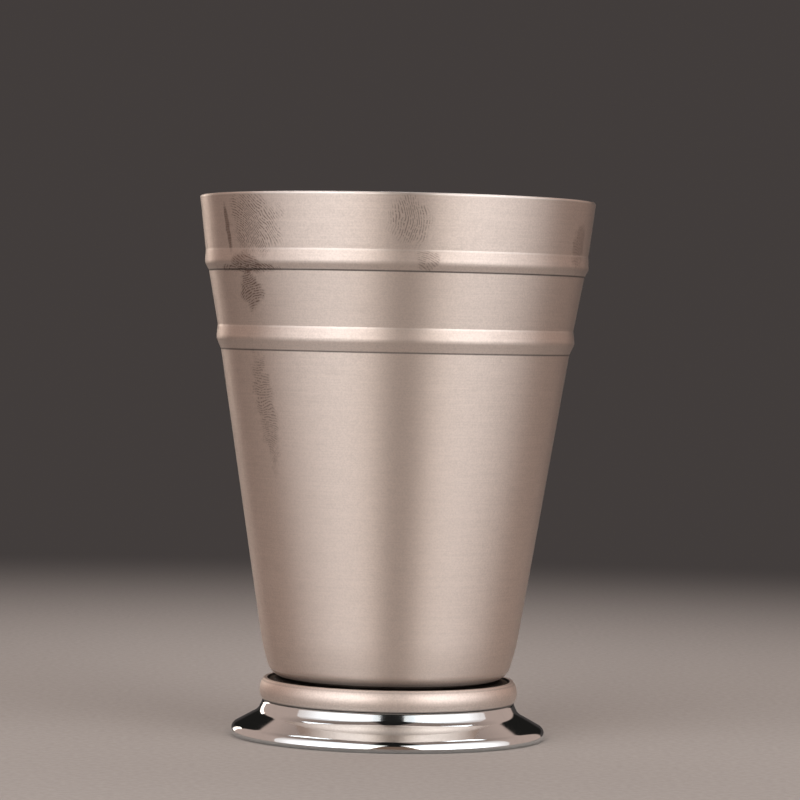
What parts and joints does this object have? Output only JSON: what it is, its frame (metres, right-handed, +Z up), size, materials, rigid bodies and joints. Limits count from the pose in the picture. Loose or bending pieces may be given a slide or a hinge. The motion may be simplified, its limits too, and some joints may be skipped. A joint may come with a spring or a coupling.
{
  "type": "julep cup",
  "caption": "Footed metal julep cup: tapered satin body with rolled beads under the rim, a half-round collar and a mirror-polished pedestal foot.",
  "frame": {"origin": "centre of the foot's footprint, on the plane it stands on", "axes": "+Z up along the cup's axis of revolution, out of the mouth"},
  "size_m": [0.086, 0.086, 0.117],
  "materials": {
    "satin_steel": "satin, brushed round the cup, warm champagne tone",
    "collar_steel": "fine satin, brushed round the ring",
    "polished_steel": "mirror polish with fine turned lines",
    "braze_filler": "as brazed, dull"
  },
  "bodies": {
    "root": {"cup_body": "satin_steel", "foot": "polished_steel", "foot_collar": "collar_steel", "body_braze_ring": "braze_filler", "collar_braze_ring": "braze_filler"}
  },
  "joints": []
}
